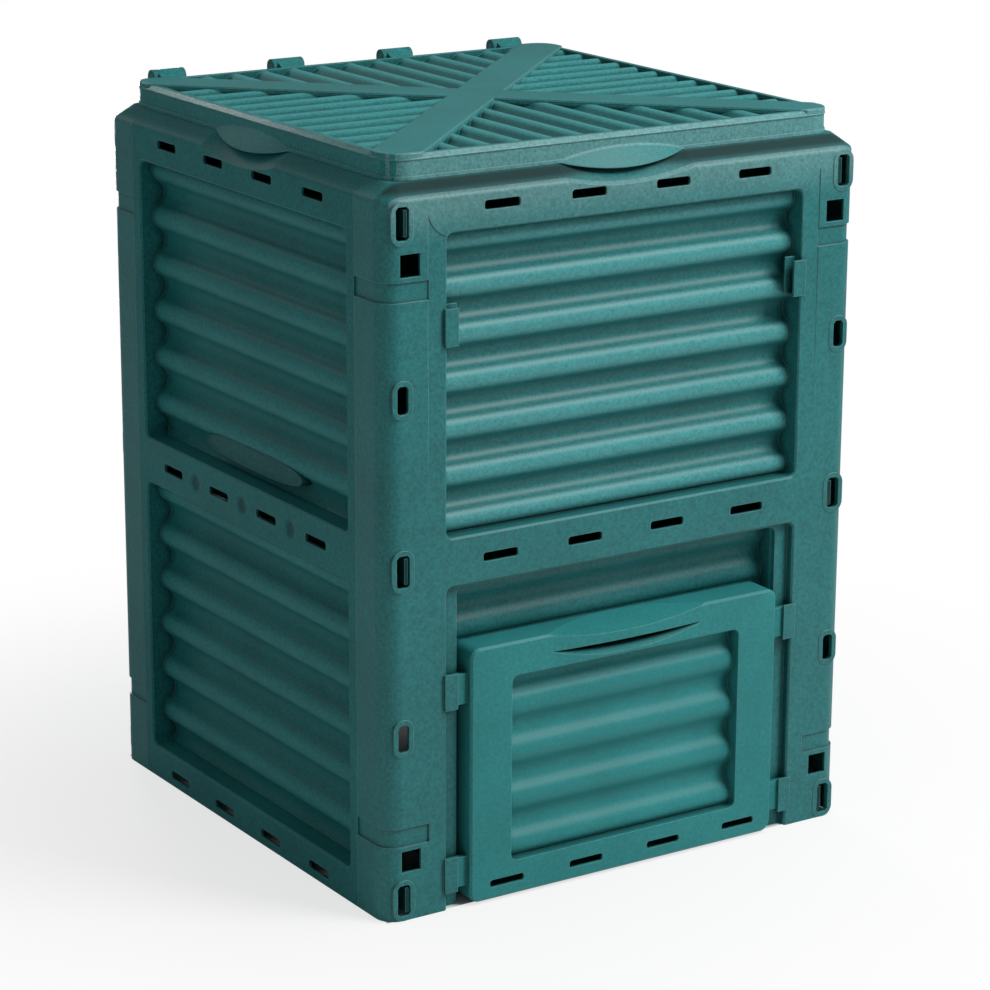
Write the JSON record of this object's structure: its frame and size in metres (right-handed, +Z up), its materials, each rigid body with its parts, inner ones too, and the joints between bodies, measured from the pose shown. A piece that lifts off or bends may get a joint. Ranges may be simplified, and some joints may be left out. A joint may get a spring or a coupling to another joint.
{
  "type": "garden compost bin",
  "caption": "Square plastic garden compost bin with corrugated snap-together walls, a hinged ribbed lid and a lift-off hatch at the foot of the front wall.",
  "frame": {"origin": "on the ground under the middle of the bin", "axes": "+Z up, -Y towards the front wall with the hatch, +X towards the right wall seen from the front"},
  "size_m": [0.61, 0.6178, 0.83],
  "materials": {
    "walls": "satin moulded green plastic",
    "lid": "satin moulded green plastic",
    "hatch": "satin moulded green plastic",
    "pins": "satin moulded green plastic"
  },
  "bodies": {
    "bin": {"front_panel": "walls", "rear_panel": "walls", "left_panel": "walls", "right_panel": "walls", "hinge_pin_1": "pins", "hinge_pin_2": "pins", "hinge_pin_3": "pins", "hinge_pin_4": "pins"},
    "lid": {"lid": "lid"},
    "hatch": {"hatch": "hatch"}
  },
  "joints": [
    {"name": "lid_hinge", "type": "hinge", "parent": "bin", "child": "lid", "pos_m": [0, 0.296, 0.821], "axis": [-1, 0, 0], "range_deg": [0, 110]},
    {"name": "hatch_lift", "type": "slide", "parent": "bin", "child": "hatch", "axis": [0, 0, 1], "range_m": [0, 0.038]}
  ]
}
